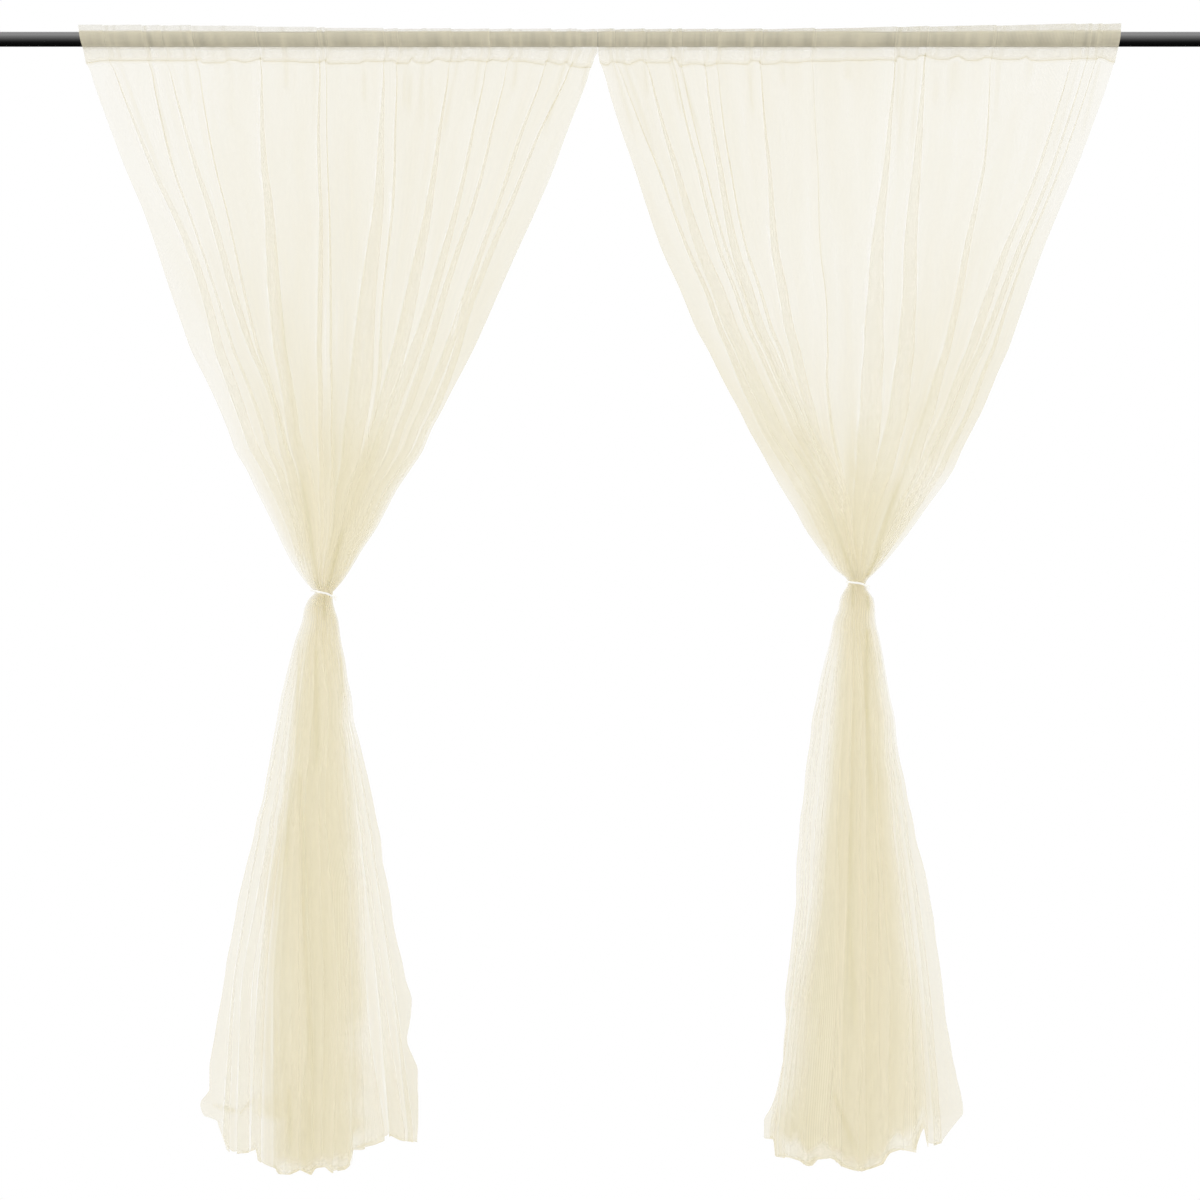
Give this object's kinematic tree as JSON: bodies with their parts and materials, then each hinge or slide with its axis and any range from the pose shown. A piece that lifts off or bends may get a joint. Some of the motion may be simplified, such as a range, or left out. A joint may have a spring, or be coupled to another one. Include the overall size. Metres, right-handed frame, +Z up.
{
  "type": "mesh curtain pair on curtain rod",
  "caption": "Sheer ivory mesh curtain panels gathered on a gloss black rod by rod pockets, each drawn in at half height by a narrow ribbon tie.",
  "frame": {"origin": "on the rod's axis at its mid length", "axes": "+X along the rod to the right as seen from the room, +Z up, the room at -Y"},
  "size_m": [2.3, 0.1299, 2.1397],
  "materials": {
    "rod_paint": "gloss black enamel",
    "mesh_cloth": "sheer ivory mesh",
    "ribbon": "soft white ribbon"
  },
  "bodies": {
    "root": {"rod": "rod_paint", "panel_left": "mesh_cloth", "panel_right": "mesh_cloth", "tie_left": "ribbon", "tie_right": "ribbon"}
  },
  "joints": []
}
